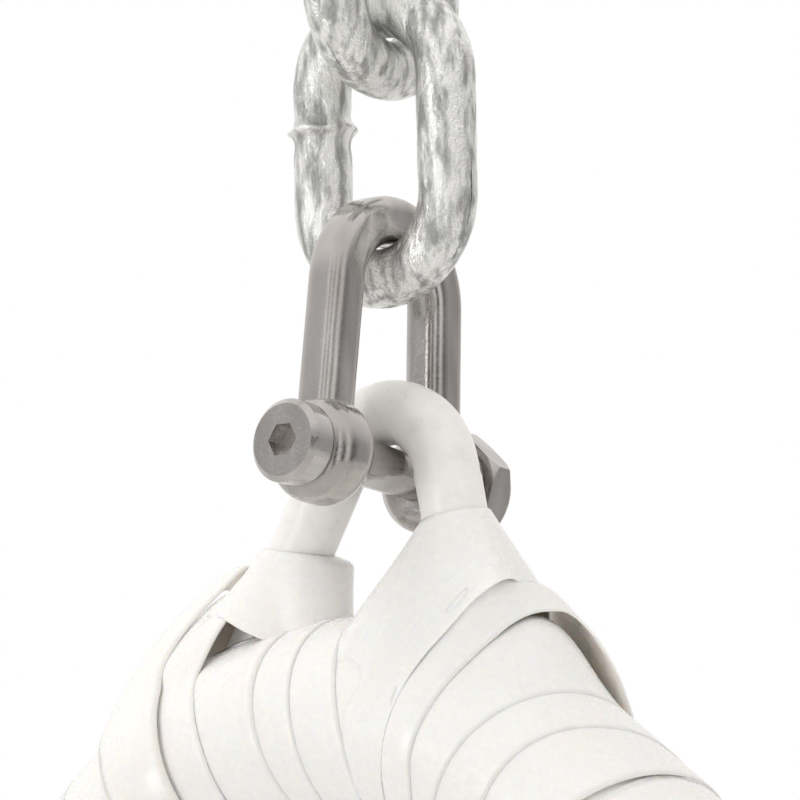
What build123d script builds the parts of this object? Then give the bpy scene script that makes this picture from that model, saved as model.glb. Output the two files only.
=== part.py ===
from build123d import *
import math
import os

# A hoop swing hung from one point: a steel teardrop hoop wrapped in white tape,
# a white eye bent from round bar, a stainless shackle, four links of galvanised
# chain and a swivelling hanger that bolts under a beam.
# Millimetres, +Z up. The origin is the middle of the hanger plate's top face,
# the hoop lies in the XZ plane and the shackle's pin runs roughly along Y.

# ---------------------------------------------------------------- clearances
running_gap = 0.05      # radial, turning shafts in their bores
seat_gap = 0.3          # between curved faces that carry each other
face_gap = 0.1          # between flat faces that slide on each other
screw_gap = 0.05        # radial, screws in their holes

# -------------------------------------------------------------- hanger plate
plate_length = 120.0
plate_width = 60.0
plate_thickness = 10.0
plate_corner_radius = 8.0
plate_edge_chamfer = 0.8
beam_hole_radius = 5.5
beam_hole_spacing_x = 90.0
beam_hole_spacing_y = 34.0

# ------------------------------------------------------------ swivel housing
flange_radius = 31.0
flange_thickness = 6.0
housing_wall = 4.5
housing_cavity_radius = 14.0
housing_cavity_height = 26.0
housing_floor = 8.0
housing_edge_radius = 1.5

screw_count = 4
screw_radius = 3.0
screw_circle_radius = 25.2
screw_grip = 8.0
screw_head_radius = 5.0
screw_head_height = 6.0
screw_socket_flats = 5.0
screw_socket_depth = 3.0

bush_wall = 2.0
bush_flange_radius = 12.0
bush_flange_thickness = 2.0
thrust_washer_radius = 11.8
thrust_washer_thickness = 2.0
seal_wall = 3.6
seal_thickness = 1.7

# ------------------------------------------------------------------- spindle
spindle_radius = 7.0
spindle_tip = 2.5               # spindle standing out of its nut
spindle_nut_flats = 21.0
spindle_nut_hex_height = 7.5
spindle_nut_crown_radius = 9.6
spindle_nut_crown_height = 4.5
split_pin_radius = 1.4
split_pin_overhang = 1.0
split_pin_eye_radius = 1.0
split_pin_eye_wire = 0.7

# -------------------------------------------------------------------- clevis
clevis_head_radius = 12.5
clevis_head_height = 7.0
clevis_ear_thickness = 6.0
clevis_ear_width = 22.0
clevis_side_gap = 1.0           # beside the first link, each side
clevis_roof_gap = 0.8           # over the first link as it swings
clevis_edge_radius = 1.2

clevis_bolt_radius = 5.0
clevis_bolt_flats = 16.0
clevis_bolt_head_height = 6.4
clevis_nut_height = 9.5
clevis_nut_collar = 2.5
clevis_bolt_tip = 1.5

# --------------------------------------------------------------------- chain
link_count = 4
wire_radius = 5.0
link_inner_length = 35.0
link_inner_width = 16.0
weld_bead_radius = 5.8
weld_bead_width = 2.4
weld_bead_edge = 0.7
weld_bead_rise = 3.6            # above the middle of its leg

# ------------------------------------------------------------------- shackle
bar_size = 8.0
bar_corner_radius = 2.7
shackle_leg_spacing = 28.8      # centre to centre at the pin
shackle_leg_lean = 3.0          # degrees, each leg leans in towards the crown
shackle_height = 41.0           # pin axis to the crown's centreline
boss_radius = 8.7
boss_thickness = 10.0
boss_edge_radius = 3.8
pin_radius = 3.8
pin_head_radius = 6.8
pin_head_thickness = 5.0
pin_head_chamfer = 0.9
pin_socket_flats = 5.0
pin_socket_depth = 3.2
pin_tip = 1.0
shackle_nut_flats = 17.0
shackle_nut_thickness = 4.8
shackle_nut_collar_radius = 8.3
shackle_nut_collar_thickness = 1.2
shackle_nut_turn = 18.0         # degrees, how its corners stand about the pin
eye_offset = 3.4                # the eye hangs this far along the pin from the middle

# ----------------------------------------------------------------------- eye
eye_bar_radius = 4.5
eye_coat_thickness = 0.9
eye_bend_radius = 11.5          # centreline
eye_left_lean = 30.6            # degrees from plumb
eye_right_lean = 11.2
weld_leg = 3.0                  # fillet weld round each foot

# ---------------------------------------------------------------------- hoop
tube_radius = 16.0
tube_wall = 2.0
wrap_thickness = 1.75
crown_bend_radius = 67.0        # centreline
shoulder_slope = 40.0           # degrees below level on both sides
hoop_radius = 380.0             # centreline of the large round
crown_drop = 42.0               # pin axis down to the crown's centreline
crown_offset = -10.0            # the crown stands this far to the side of the pin
crown_wrap_run = 60.0           # of the crown's wrap along each shoulder
side_wrap_angle = 60.0          # degrees of the large round that a side wrap covers
spigot_wall = 2.5
spigot_half_length = 35.0
spigot_gap = 0.1

# ----------------------------------------------------- tape over the eye's feet
collar_left_start = 16.0        # along the leg from the end of the bend
collar_left_top_radius = 7.0
collar_left_foot = (15.0, 14.0)     # half length along the hoop, half width
collar_right_start = 10.0
collar_right_top_radius = 6.3
collar_right_foot = (25.0, 17.4)
collar_foot_height = 5.0        # level plane of the foot above the hoop's centreline
loose_turn_width = 12.0
loose_turn_thickness = 0.8
loose_turn_left_start = 48.0    # along the hoop from its crown
loose_turn_right_start = 60.0

# ============================================================ derived places
eye_outer_radius = eye_bar_radius + eye_coat_thickness
wrap_radius = tube_radius + wrap_thickness
link_bend_radius = link_inner_width / 2 + wire_radius
link_straight = link_inner_length + 2 * wire_radius - 2 * link_bend_radius
link_height = link_inner_length + 2 * wire_radius       # centreline, top to bottom

flange_top = -plate_thickness
flange_bottom = flange_top - flange_thickness
cavity_floor = flange_top - housing_cavity_height
housing_bottom = cavity_floor - housing_floor
housing_radius = housing_cavity_radius + housing_wall
bush_bore_radius = spindle_radius + running_gap
bush_radius = bush_bore_radius + bush_wall
bush_top = cavity_floor + bush_flange_thickness
washer_top = bush_top + thrust_washer_thickness
nut_bottom = washer_top + face_gap
nut_hex_top = nut_bottom + spindle_nut_hex_height
nut_top = nut_hex_top + spindle_nut_crown_height
spindle_top = nut_top + spindle_tip
split_pin_z = nut_top - spindle_nut_crown_height / 2
clevis_top = housing_bottom - seal_thickness - seat_gap
clevis_roof = clevis_top - clevis_head_height

link_reach = math.hypot(link_bend_radius + wire_radius, link_bend_radius - wire_radius)
clevis_pin_z = clevis_roof - link_reach - clevis_roof_gap
clevis_half_gap = wire_radius + clevis_side_gap
clevis_half_width = clevis_half_gap + clevis_ear_thickness

first_link_top = clevis_pin_z + clevis_bolt_radius + wire_radius + seat_gap
link_step = link_height - 2 * wire_radius - seat_gap
link_tops = [first_link_top - i * link_step for i in range(link_count)]
last_link_bottom = link_tops[-1] - link_height

shackle_crown_z = last_link_bottom + wire_radius + bar_size / 2 + seat_gap
shackle_hinge_drop = shackle_height - (shackle_crown_z - last_link_bottom)
shackle_tilt = math.degrees(math.atan2(eye_offset, shackle_hinge_drop))
pin_z = last_link_bottom - math.hypot(shackle_hinge_drop, eye_offset)

eye_center_z = pin_z + pin_radius + seat_gap + eye_outer_radius - eye_bend_radius
crown_z = pin_z - crown_drop
shoulder = math.radians(shoulder_slope)
shoulder_length = (hoop_radius - crown_bend_radius) * math.tan(shoulder)
round_center_drop = hoop_radius / math.cos(shoulder) - crown_bend_radius * (1 / math.cos(shoulder) - 1)


# ================================================================== helpers
def turned(radius, bottom, top, hole=0.0):
    """A round disc or sleeve about Z between two levels."""
    height = top - bottom
    solid = Pos(0, 0, bottom + height / 2) * Cylinder(radius, height)
    if hole:
        solid -= Pos(0, 0, bottom + height / 2) * Cylinder(hole, height)
    return solid


def hexagon(flats, bottom, top):
    """A hexagonal prism about Z between two levels."""
    profile = Pos(0, 0, bottom) * RegularPolygon(flats / math.sqrt(3), 6)
    return extrude(profile, top - bottom)


def hex_head(flats, bottom, top):
    """A bolt head or nut with both ends of its corners turned round."""
    corner = flats / math.sqrt(3)
    blank = chamfer(turned(corner, bottom, top).edges(), (corner - flats / 2) * 0.8)
    return hexagon(flats, bottom, top) & blank


def along(solid, plane):
    """A solid made about Z, laid with its Z along another plane's normal."""
    return plane.location * solid


def sweep_round(path, radius, hole=0.0):
    """A round bar or tube that follows a path."""
    start = Plane(origin=path @ 0, z_dir=path % 0)
    solid = sweep(start * Circle(radius), path=path)
    if hole:
        solid -= sweep(start * Circle(hole), path=path)
    return solid


def save(node, shape):
    export_step(shape, f"parts/{node}.step")


def save_group(node, shapes):
    export_step(Compound(children=shapes), f"parts/{node}.step")


# ============================================================ hanger and swivel
def hanger_plate():
    plate = extrude(RectangleRounded(plate_length, plate_width, plate_corner_radius), -plate_thickness)
    plate = chamfer(plate.edges().filter_by(GeomType.LINE).filter_by(Axis.Z, reverse=True), plate_edge_chamfer)
    middle = -plate_thickness / 2
    for spot in GridLocations(beam_hole_spacing_x, beam_hole_spacing_y, 2, 2):
        plate -= spot * Pos(0, 0, middle) * Cylinder(beam_hole_radius, plate_thickness)
    for spot in screw_spots():
        depth = screw_grip + seat_gap
        hole = turned(screw_radius + screw_gap, flange_top, flange_top + depth)
        plate -= spot * hole
    return plate


def screw_spots():
    return PolarLocations(screw_circle_radius, screw_count, start_angle=45)


def swivel_housing():
    cup = turned(flange_radius, flange_bottom, flange_top)
    cup += turned(housing_radius, housing_bottom, flange_bottom)
    rims = cup.edges().filter_by(GeomType.CIRCLE).group_by(Axis.Z)
    cup = fillet(rims[0] + rims[1], housing_edge_radius)
    cup -= turned(housing_cavity_radius, cavity_floor, flange_top)
    cup -= turned(bush_radius, housing_bottom, cavity_floor)
    for spot in screw_spots():
        cup -= spot * turned(screw_radius + screw_gap, flange_bottom, flange_top)
    return cup


def housing_screw():
    """Socket head screw, head down, in the housing's flange and the plate."""
    head_bottom = flange_bottom - screw_head_height
    screw = turned(screw_head_radius, head_bottom, flange_bottom)
    screw = chamfer(screw.edges().group_by(Axis.Z)[0], 0.5)
    screw += turned(screw_radius, flange_bottom, flange_top + screw_grip)
    return screw - hexagon(screw_socket_flats, head_bottom, head_bottom + screw_socket_depth)


def swivel_bush():
    bush = turned(bush_radius, housing_bottom, cavity_floor)
    bush += turned(bush_flange_radius, cavity_floor, bush_top)
    return bush - turned(bush_bore_radius, housing_bottom, bush_top)


def thrust_washer():
    return turned(thrust_washer_radius, bush_top, washer_top, hole=spindle_radius + seat_gap)


def grease_seal():
    ring = turned(spindle_radius + seat_gap + seal_wall, clevis_top + seat_gap, housing_bottom)
    ring = fillet(ring.edges().filter_by(GeomType.CIRCLE).group_by(Axis.Z)[0], 0.5)
    return ring - turned(spindle_radius + seat_gap, clevis_top + seat_gap, housing_bottom)


def swivel_clevis():
    """Forged fork with the spindle in one piece with it."""
    head = turned(clevis_head_radius, clevis_roof, clevis_top)
    ear_drop = clevis_roof - clevis_pin_z
    ears = Part()
    for side in (-1, 1):
        at = side * (clevis_half_gap + clevis_ear_thickness / 2)
        slab = Box(clevis_ear_thickness, clevis_ear_width, ear_drop)
        ears += Pos(at, 0, clevis_pin_z + ear_drop / 2) * slab
        eye = Cylinder(clevis_ear_width / 2, clevis_ear_thickness)
        ears += Pos(at, 0, clevis_pin_z) * Rot(0, 90, 0) * eye
    bridge = Pos(0, 0, clevis_roof + clevis_head_height / 2) * Box(
        2 * clevis_half_width, clevis_ear_width, clevis_head_height
    )
    bridge = fillet(bridge.edges().filter_by(Axis.Y).group_by(Axis.Z)[-1], clevis_edge_radius)
    fork = head + bridge + ears
    fork += turned(spindle_radius, clevis_top, spindle_top)
    fork -= Pos(0, 0, clevis_pin_z) * Rot(0, 90, 0) * Cylinder(
        clevis_bolt_radius + running_gap, 2 * clevis_half_width
    )
    split_hole = Cylinder(split_pin_radius + screw_gap, 2 * spindle_radius)
    return fork - Pos(0, 0, split_pin_z) * Rot(90, 0, 0) * split_hole


def spindle_nut():
    """Castle nut: its crown has three slots right across for the split pin."""
    nut = hex_head(spindle_nut_flats, nut_bottom, nut_hex_top)
    nut += turned(spindle_nut_crown_radius, nut_hex_top, nut_top)
    slot_width = 2 * (split_pin_radius + seat_gap)
    slot_depth = spindle_nut_crown_height / 2 + split_pin_radius + seat_gap
    for turn in (0, 60, 120):
        slot = Box(slot_width, 2 * spindle_nut_flats, slot_depth)
        nut -= Pos(0, 0, nut_top - slot_depth / 2) * Rot(0, 0, turn) * slot
    return nut - turned(spindle_radius + screw_gap, nut_bottom, nut_top)


def spindle_split_pin():
    reach = spindle_nut_crown_radius + split_pin_overhang
    shank = Rot(90, 0, 0) * Cylinder(split_pin_radius, 2 * reach)
    eye_reach = spindle_nut_crown_radius + seat_gap + split_pin_eye_radius + split_pin_eye_wire
    eye = Pos(0, -eye_reach, 0) * Torus(split_pin_eye_radius, split_pin_eye_wire)
    return Pos(0, 0, split_pin_z) * (shank + eye)


def clevis_bolt():
    start = Plane(origin=(-clevis_half_width, 0, clevis_pin_z), z_dir=(1, 0, 0))
    length = 2 * clevis_half_width + clevis_nut_height + clevis_bolt_tip
    bolt = chamfer(turned(clevis_bolt_radius, 0, length).edges().group_by(Axis.Z)[-1], 0.8)
    bolt += hex_head(clevis_bolt_flats, -clevis_bolt_head_height, 0)
    return along(bolt, start)


def clevis_nut():
    start = Plane(origin=(clevis_half_width, 0, clevis_pin_z), z_dir=(1, 0, 0))
    body_top = clevis_nut_height - clevis_nut_collar
    nut = hex_head(clevis_bolt_flats, 0, body_top)
    collar = turned(clevis_bolt_flats / 2 - 0.8, body_top, clevis_nut_height)
    nut += fillet(collar.edges().group_by(Axis.Z)[-1], 1.0)
    return along(nut - turned(clevis_bolt_radius + screw_gap, 0, clevis_nut_height), start)


# ===================================================================== chain
def chain_link(top, across):
    """A link in the XZ plane, or across it, with its butt weld on one leg."""
    centers = (link_straight / 2, -link_straight / 2)
    section = Plane.XY * Pos(link_bend_radius, 0) * Circle(wire_radius)
    bend = revolve(section, Axis((0, 0, 0), (0, -1, 0)), 180)
    link = Pos(0, 0, centers[0]) * bend
    link += Pos(0, 0, centers[1]) * Rot(0, 180, 0) * bend
    for side in (-1, 1):
        link += Pos(side * link_bend_radius, 0, 0) * Cylinder(wire_radius, link_straight)
    bead = fillet(Cylinder(weld_bead_radius, weld_bead_width).edges(), weld_bead_edge)
    link += Pos(-link_bend_radius, 0, weld_bead_rise) * bead
    return Pos(0, 0, top - link_height / 2) * Rot(0, 0, 90 if across else 0) * link


# =================================================================== shackle
def hang_shackle(shape):
    """From the shackle's own frame, pin axis on Y through its middle, to where it hangs."""
    about_hinge = Pos(0, 0, last_link_bottom) * Rot(-shackle_tilt, 0, 0)
    return about_hinge * Pos(0, 0, -shackle_hinge_drop) * shape


def shackle_bosses():
    boss = fillet(Cylinder(boss_radius, boss_thickness).edges(), boss_edge_radius)
    return [Pos(0, side * shackle_leg_spacing / 2, 0) * Rot(90, 0, 0) * boss for side in (-1, 1)]


def shackle_bow():
    lean = math.radians(shackle_leg_lean)
    half = shackle_leg_spacing / 2
    reach = math.cos(lean) - math.tan(lean) * (1 - math.sin(lean))
    bend = (half - shackle_height * math.tan(lean)) / reach
    turn_z = shackle_height - bend
    shoulder_y = bend * math.cos(lean)
    shoulder_z = turn_z + bend * math.sin(lean)
    path = Line((0, -half, 0), (0, -shoulder_y, shoulder_z))
    path += ThreePointArc((0, -shoulder_y, shoulder_z), (0, 0, shackle_height), (0, shoulder_y, shoulder_z))
    path += Line((0, shoulder_y, shoulder_z), (0, half, 0))
    start = Plane(origin=(0, -half, 0), x_dir=(1, 0, 0), z_dir=path % 0)
    bow = sweep(start * RectangleRounded(bar_size, bar_size, bar_corner_radius), path=path)
    for boss in shackle_bosses():
        bow += boss
    span = shackle_leg_spacing + boss_thickness
    bore = Rot(90, 0, 0) * Cylinder(pin_radius + running_gap, span)
    return hang_shackle(bow - bore)


def shackle_pin():
    """Made along Z from the head's seat, then laid along the bosses."""
    outer_face = (shackle_leg_spacing + boss_thickness) / 2
    length = 2 * outer_face + shackle_nut_thickness + shackle_nut_collar_thickness + pin_tip
    shank = chamfer(turned(pin_radius, 0, length).edges().group_by(Axis.Z)[-1], 0.6)
    head = turned(pin_head_radius, -pin_head_thickness, 0)
    head = chamfer(head.edges().group_by(Axis.Z)[0], pin_head_chamfer)
    head = chamfer(head.edges().group_by(Axis.Z)[-1], pin_head_chamfer / 2)
    socket = hexagon(pin_socket_flats, -pin_head_thickness, pin_socket_depth - pin_head_thickness)
    pin = shank + head - socket
    return hang_shackle(along(pin, Plane(origin=(0, -outer_face, 0), x_dir=(1, 0, 0), z_dir=(0, 1, 0))))


def shackle_nut():
    outer_face = (shackle_leg_spacing + boss_thickness) / 2
    full = shackle_nut_thickness + shackle_nut_collar_thickness
    nut = hex_head(shackle_nut_flats, 0, shackle_nut_thickness)
    collar = turned(shackle_nut_collar_radius, shackle_nut_thickness, full)
    nut += fillet(collar.edges().group_by(Axis.Z)[-1], shackle_nut_collar_thickness / 2)
    nut -= turned(pin_radius + screw_gap, 0, full)
    nut = Rot(0, 0, -shackle_nut_turn) * nut
    return hang_shackle(along(nut, Plane(origin=(0, outer_face, 0), x_dir=(1, 0, 0), z_dir=(0, 1, 0))))


# ======================================================================= hoop
def hoop_path_points():
    """The hoop's centreline on its right half, in its own frame with the crown at 0, 0."""
    bend_end = (crown_bend_radius * math.sin(shoulder), crown_bend_radius * (math.cos(shoulder) - 1))
    round_start = (
        hoop_radius * math.sin(shoulder),
        hoop_radius * math.cos(shoulder) - round_center_drop,
    )
    return bend_end, round_start


def hoop_centroid_drop():
    """How far the hoop's centre of mass lies under its crown."""
    bend_end, round_start = hoop_path_points()
    bend_length = crown_bend_radius * shoulder
    bend_drop = crown_bend_radius * (1 - math.sin(shoulder) / shoulder)
    line_drop = -(bend_end[1] + round_start[1]) / 2
    round_angle = math.pi - shoulder
    round_length = hoop_radius * round_angle
    round_drop = round_center_drop + hoop_radius * math.sin(shoulder) / round_angle
    total = bend_length + shoulder_length + round_length
    return (bend_length * bend_drop + shoulder_length * line_drop + round_length * round_drop) / total


# the hoop turns about the pin until its weight hangs straight below
hang_turn = math.degrees(math.atan2(-crown_offset, crown_drop + hoop_centroid_drop()))


def hang_hoop(shape):
    """From the hoop's own frame, crown at 0, 0, 0, to where it hangs on the pin."""
    about_pin = Pos(0, 0, pin_z) * Rot(0, -hang_turn, 0)
    plumb_crown = Pos(crown_offset / math.cos(math.radians(hang_turn)), 0, -crown_drop)
    return about_pin * plumb_crown * shape


def point_on_round(angle):
    """A point on the large round, by its angle above level at the centre."""
    a = math.radians(angle)
    return (hoop_radius * math.cos(a), 0, hoop_radius * math.sin(a) - round_center_drop)


def flipped(point):
    return (-point[0], point[1], point[2])


def crown_arc(start, end):
    """An arc of the crown's bend between two angles from plumb, degrees."""
    def spot(angle):
        a = math.radians(angle)
        return (crown_bend_radius * math.sin(a), 0, crown_bend_radius * (math.cos(a) - 1))

    return ThreePointArc(spot(start), spot((start + end) / 2), spot(end))


def along_shoulder(distance):
    """A point on the right shoulder, by its distance from the crown's bend."""
    bend_end = hoop_path_points()[0]
    return (
        bend_end[0] + distance * math.cos(shoulder),
        0,
        bend_end[1] - distance * math.sin(shoulder),
    )


def round_arc(start, end):
    return ThreePointArc(point_on_round(start), point_on_round((start + end) / 2), point_on_round(end))


top_angle = 90 - shoulder_slope
split_angle = top_angle - side_wrap_angle


def half_hoop_path():
    path = crown_arc(0, shoulder_slope)
    path += Line(along_shoulder(0), along_shoulder(shoulder_length))
    return path + round_arc(top_angle, -90)


def mirrored(shape):
    return mirror(shape, Plane.YZ)


def hoop_tube_right():
    return sweep_round(half_hoop_path(), tube_radius, hole=tube_radius - tube_wall)


def crown_path(run):
    left = [flipped(along_shoulder(run)), flipped(along_shoulder(0))]
    path = Line(left[0], left[1]) + crown_arc(-shoulder_slope, shoulder_slope)
    return path + Line(along_shoulder(0), along_shoulder(run))


def crown_wrap_blank():
    return sweep_round(crown_path(crown_wrap_run), wrap_radius)


def top_spigot():
    angle = math.degrees(spigot_half_length / crown_bend_radius)
    radius = tube_radius - tube_wall - spigot_gap
    return sweep_round(crown_arc(-angle, angle), radius, hole=radius - spigot_wall)


def bottom_spigot():
    angle = math.degrees(spigot_half_length / hoop_radius)
    radius = tube_radius - tube_wall - spigot_gap
    return sweep_round(round_arc(-90 - angle, -90 + angle), radius, hole=radius - spigot_wall)


# ======================================================================== eye
def eye_leg(side):
    """The end of the bend and the way down of one leg, side -1 left, 1 right."""
    lean = math.radians(eye_left_lean if side < 0 else eye_right_lean)
    start = (
        side * eye_bend_radius * math.cos(lean),
        0,
        eye_center_z + eye_bend_radius * math.sin(lean),
    )
    return start, (side * math.sin(lean), 0, -math.cos(lean))


def leg_point(side, distance):
    start, way = eye_leg(side)
    return tuple(s + distance * w for s, w in zip(start, way))


def leg_plane(side, distance):
    """A plane across a leg, its normal pointing back up the leg."""
    way = eye_leg(side)[1]
    return Plane(origin=leg_point(side, distance), x_dir=(-way[2], 0, way[0]), z_dir=tuple(-w for w in way))


def eye_path():
    """Long enough for both legs to end inside the tube."""
    run = crown_drop + tube_radius
    top = (0, 0, eye_center_z + eye_bend_radius)
    path = Line(leg_point(-1, run), leg_point(-1, 0))
    path += ThreePointArc(leg_point(-1, 0), top, leg_point(1, 0))
    return path + Line(leg_point(1, 0), leg_point(1, run))


def above_tube(shape, margin):
    """The part of an eye shape that stays outside the hoop's tube."""
    blank = hang_hoop(sweep_round(crown_path(crown_wrap_run), tube_radius + margin))
    kept = (shape - blank).solids().sort_by(Axis.Z)[-1]
    return Part(kept.wrapped)


def eye_bar():
    return above_tube(sweep_round(eye_path(), eye_bar_radius), 0)


def eye_coat():
    tube = sweep_round(eye_path(), eye_outer_radius, hole=eye_bar_radius)
    return above_tube(tube, weld_leg)


def foot_distance(side):
    """Along a leg from its bend to the hoop's centreline, near enough for its weld."""
    start, way = eye_leg(side)
    low, high = 0.0, 3 * crown_drop
    for _ in range(40):
        middle = (low + high) / 2
        x, z = start[0] + middle * way[0], start[2] + middle * way[2]
        turn = math.radians(hang_turn)
        dx, dz = x, z - pin_z
        local_x = dx * math.cos(turn) + dz * math.sin(turn) - crown_offset / math.cos(turn)
        local_z = -dx * math.sin(turn) + dz * math.cos(turn) + crown_drop
        inside = math.hypot(local_x, local_z + crown_bend_radius) < crown_bend_radius
        low, high = (low, middle) if inside else (middle, high)
    return low


def eye_welds(bar):
    """A fillet weld round each foot, between the bar and the tube."""
    tube = hang_hoop(sweep_round(crown_path(crown_wrap_run), tube_radius))
    shell = hang_hoop(sweep_round(crown_path(crown_wrap_run), tube_radius + weld_leg))
    welds = []
    for side in (-1, 1):
        foot = foot_distance(side)
        height = crown_drop     # clears the tube along a slanting leg
        blank = Cylinder(eye_bar_radius + weld_leg, height, align=(Align.CENTER, Align.CENTER, Align.MIN))
        ring = leg_plane(side, foot) * blank
        ring = (ring & shell) - tube - bar
        welds.append(ring.solids().sort_by(SortBy.VOLUME)[-1])
    return welds


# ================================================================= white tape
def crown_wrap(eye_blank, welds):
    wrap = hang_hoop(crown_wrap_blank() - sweep_round(crown_path(crown_wrap_run), tube_radius))
    wrap -= eye_blank
    for weld in welds:
        wrap -= Part(weld.wrapped)
    return Part(wrap.solids().sort_by(SortBy.VOLUME)[-1].wrapped)


def shoulder_wrap():
    line = Line(along_shoulder(crown_wrap_run), along_shoulder(shoulder_length))
    return sweep_round(line, wrap_radius, hole=tube_radius)


def side_wrap():
    return sweep_round(round_arc(top_angle, split_angle), wrap_radius, hole=tube_radius)


def lower_wrap():
    return sweep_round(round_arc(split_angle, -90), wrap_radius, hole=tube_radius)


def collar(side, start, top_radius, foot_size, eye_blank, welds):
    """Tape built up from a leg of the eye down over the hoop."""
    foot = leg_point(side, foot_distance(side))
    foot_outline = Pos(foot[0], 0, foot[2] + collar_foot_height) * Ellipse(*foot_size)
    top_outline = leg_plane(side, start) * Circle(top_radius)
    cone = Part(Solid.make_loft([foot_outline.wire(), top_outline.wire()]).wrapped)
    cone -= hang_hoop(crown_wrap_blank())
    cone -= eye_blank
    for weld in welds:
        cone -= Part(weld.wrapped)
    return Part(cone.solids().sort_by(SortBy.VOLUME)[-1].wrapped)


def loose_turn(start, fitted):
    """A turn of tape that stands a little off the wrap beneath it."""
    bend_length = crown_bend_radius * shoulder
    line = Line(along_shoulder(start - bend_length), along_shoulder(start - bend_length + loose_turn_width))
    inner = wrap_radius + seat_gap
    ring = fitted(sweep_round(line, inner + loose_turn_thickness, hole=inner))
    return hang_hoop(ring)


# ====================================================================== export
def main():
    os.makedirs("parts", exist_ok=True)

    save("hanger_plate", hanger_plate())
    save("swivel_housing", swivel_housing())
    save_group("housing_screws", [spot * housing_screw() for spot in screw_spots()])
    save("swivel_bush", swivel_bush())
    save("thrust_washer", thrust_washer())
    save("grease_seal", grease_seal())
    save("swivel_clevis", swivel_clevis())
    save("spindle_nut", spindle_nut())
    save("spindle_split_pin", spindle_split_pin())
    save("clevis_bolt", clevis_bolt())
    save("clevis_nut", clevis_nut())

    for index, top in enumerate(link_tops):
        save(f"chain_link_{index + 1}", chain_link(top, across=index % 2 == 0))

    save("shackle_bow", shackle_bow())
    save("shackle_pin", shackle_pin())
    save("shackle_nut", shackle_nut())

    bar = eye_bar()
    eye_blank = sweep_round(eye_path(), eye_outer_radius)
    welds = eye_welds(bar)
    save("eye_bar", bar)
    save("eye_coat", eye_coat())
    save_group("eye_welds", welds)

    tube = hoop_tube_right()
    save("hoop_tube_right", hang_hoop(tube))
    save("hoop_tube_left", hang_hoop(mirrored(tube)))
    save("top_spigot", hang_hoop(top_spigot()))
    save("bottom_spigot", hang_hoop(bottom_spigot()))

    save("crown_wrap", crown_wrap(eye_blank, welds))
    for name, piece in (("shoulder", shoulder_wrap()), ("side", side_wrap()), ("lower", lower_wrap())):
        save(f"{name}_wrap_right", hang_hoop(piece))
        save(f"{name}_wrap_left", hang_hoop(mirrored(piece)))

    left = collar(-1, collar_left_start, collar_left_top_radius, collar_left_foot, eye_blank, welds)
    right = collar(1, collar_right_start, collar_right_top_radius, collar_right_foot, eye_blank, welds)
    save("eye_collar_left", left)
    save("eye_collar_right", right)
    save("loose_turn_left", loose_turn(loose_turn_left_start, mirrored))
    save("loose_turn_right", loose_turn(loose_turn_right_start, lambda shape: shape))

    print("pin axis z", round(pin_z, 3), "shackle tilt", round(shackle_tilt, 3))
    print("hang turn", round(hang_turn, 4), "centroid drop", round(hoop_centroid_drop(), 2))
    print("link tops", [round(z, 3) for z in link_tops], "clevis pin z", round(clevis_pin_z, 3))
    print("last link bottom", round(last_link_bottom, 3))


main()
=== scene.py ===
import math

import bmesh
import bpy
from mathutils import Matrix, Vector, noise


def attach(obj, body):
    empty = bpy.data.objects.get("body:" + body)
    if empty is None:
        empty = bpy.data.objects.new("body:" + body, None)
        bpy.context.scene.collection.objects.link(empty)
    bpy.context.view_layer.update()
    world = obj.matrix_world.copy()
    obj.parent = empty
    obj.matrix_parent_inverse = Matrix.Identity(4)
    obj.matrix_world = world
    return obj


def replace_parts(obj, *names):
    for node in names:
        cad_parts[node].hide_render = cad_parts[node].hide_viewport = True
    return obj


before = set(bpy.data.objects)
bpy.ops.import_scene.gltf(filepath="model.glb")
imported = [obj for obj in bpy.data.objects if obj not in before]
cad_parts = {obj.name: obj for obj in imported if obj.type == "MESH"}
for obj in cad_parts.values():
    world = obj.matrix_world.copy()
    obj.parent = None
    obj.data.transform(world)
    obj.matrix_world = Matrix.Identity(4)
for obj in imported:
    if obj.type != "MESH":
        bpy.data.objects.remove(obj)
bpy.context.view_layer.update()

# ---------------------------------------------------------------- hanger plate
# Flat steel plate that bolts under the beam, with the swivel housing screwed
# to it. Both are hot-dip galvanised: dull grey zinc with a faint spangle.
mm = 0.001


def new_finish(name, colour, roughness, metallic=0.0):
    """A finish with one shader, its plain values set on the shader itself."""
    finish = bpy.data.materials.new(name)
    finish.use_nodes = True
    shader = finish.node_tree.nodes["Principled BSDF"]
    shader.inputs["Base Color"].default_value = (*colour, 1)
    shader.inputs["Roughness"].default_value = roughness
    shader.inputs["Metallic"].default_value = metallic
    return finish


def add_node(finish, kind, inputs=(), **settings):
    """One node in a finish, with its own settings and its inputs' plain values."""
    node = finish.node_tree.nodes.new("ShaderNode" + kind)
    for key, value in settings.items():
        setattr(node, key, value)
    for key, value in dict(inputs).items():
        node.inputs[key].default_value = value
    return node


def grain(finish, size, detail=4.0, stretch=(1, 1, 1), kind="TexNoise"):
    """A pattern whose marks are about size metres across; returns its strength."""
    place = add_node(finish, "TexCoord").outputs["Object"]
    scaled = add_node(finish, "Mapping", {"Scale": stretch})
    finish.node_tree.links.new(place, scaled.inputs["Vector"])
    pattern = add_node(finish, kind, {"Scale": 1 / size})
    if kind == "TexNoise":
        pattern.inputs["Detail"].default_value = detail
    finish.node_tree.links.new(scaled.outputs["Vector"], pattern.inputs["Vector"])
    return pattern.outputs["Fac" if kind == "TexNoise" else "Distance"]


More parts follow.
